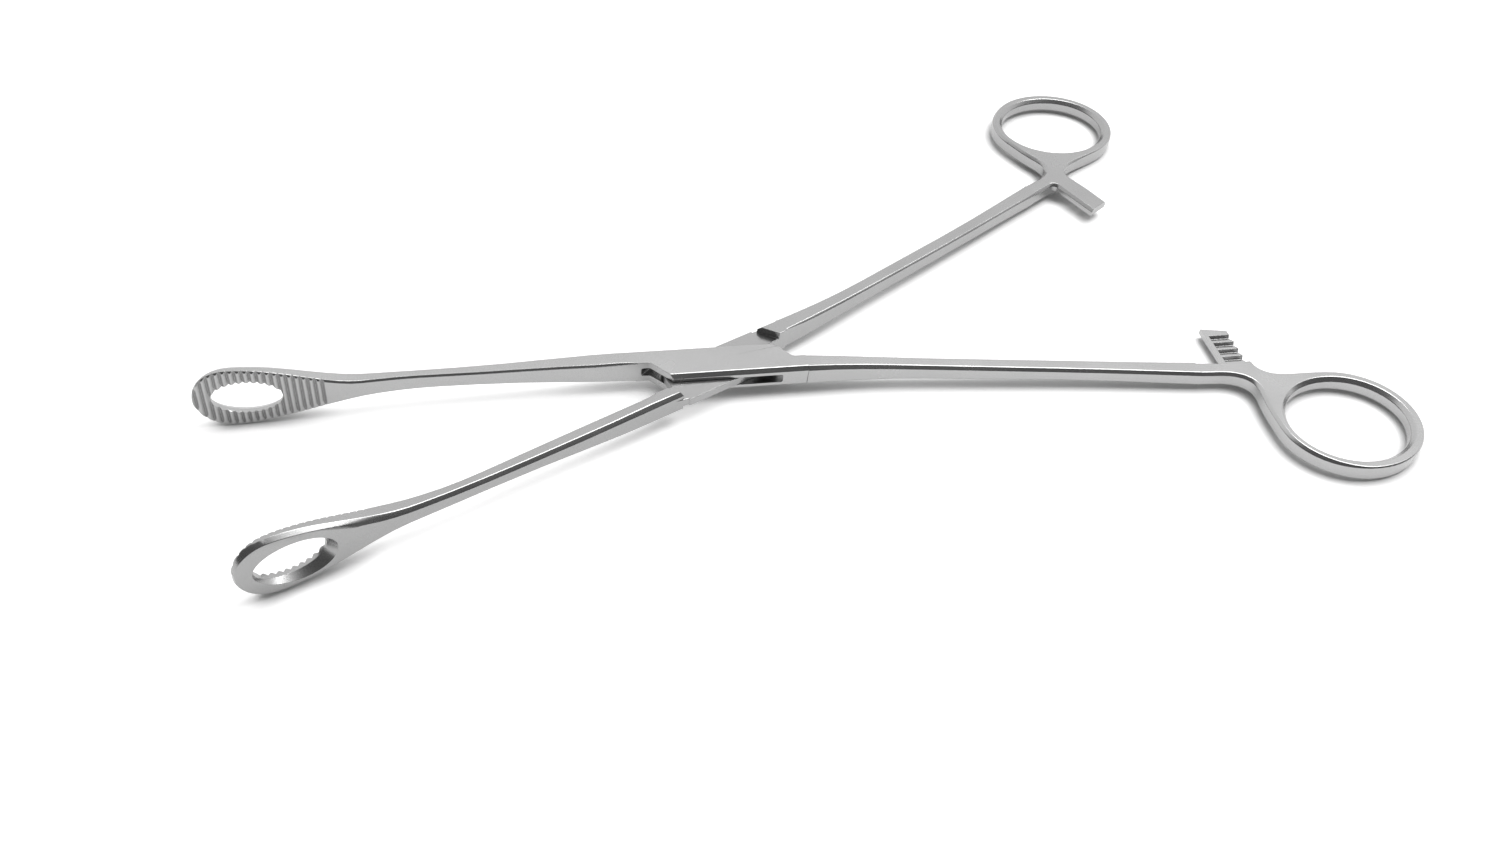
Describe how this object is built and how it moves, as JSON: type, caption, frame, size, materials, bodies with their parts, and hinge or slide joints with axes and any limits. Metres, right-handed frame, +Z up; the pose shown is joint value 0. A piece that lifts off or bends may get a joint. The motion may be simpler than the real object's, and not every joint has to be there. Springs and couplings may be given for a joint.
{
  "type": "sponge holding forceps",
  "caption": "Straight sponge holding forceps with serrated windowed jaws, a box lock, finger rings and a ratchet, for gripping swabs and tissue.",
  "frame": {"origin": "centre of the bounding box on the table that the forceps lies on", "axes": "+X from the jaws to the finger rings along the line that halves the opening, +Z up off the table"},
  "size_m": [0.2304, 0.1396, 0.0136],
  "materials": {
    "steel": "satin with bright broken edges"
  },
  "bodies": {
    "box_half": {"box_half": "steel", "pivot_pin": "steel"},
    "slide_half": {"slide_half": "steel"}
  },
  "joints": [
    {"name": "box_lock_hinge", "type": "hinge", "parent": "box_half", "child": "slide_half", "pos_m": [-0.01732, 0, 0.00479], "axis": [0.0224, 0, 0.9998], "range_deg": [-24.8, 20]}
  ]
}
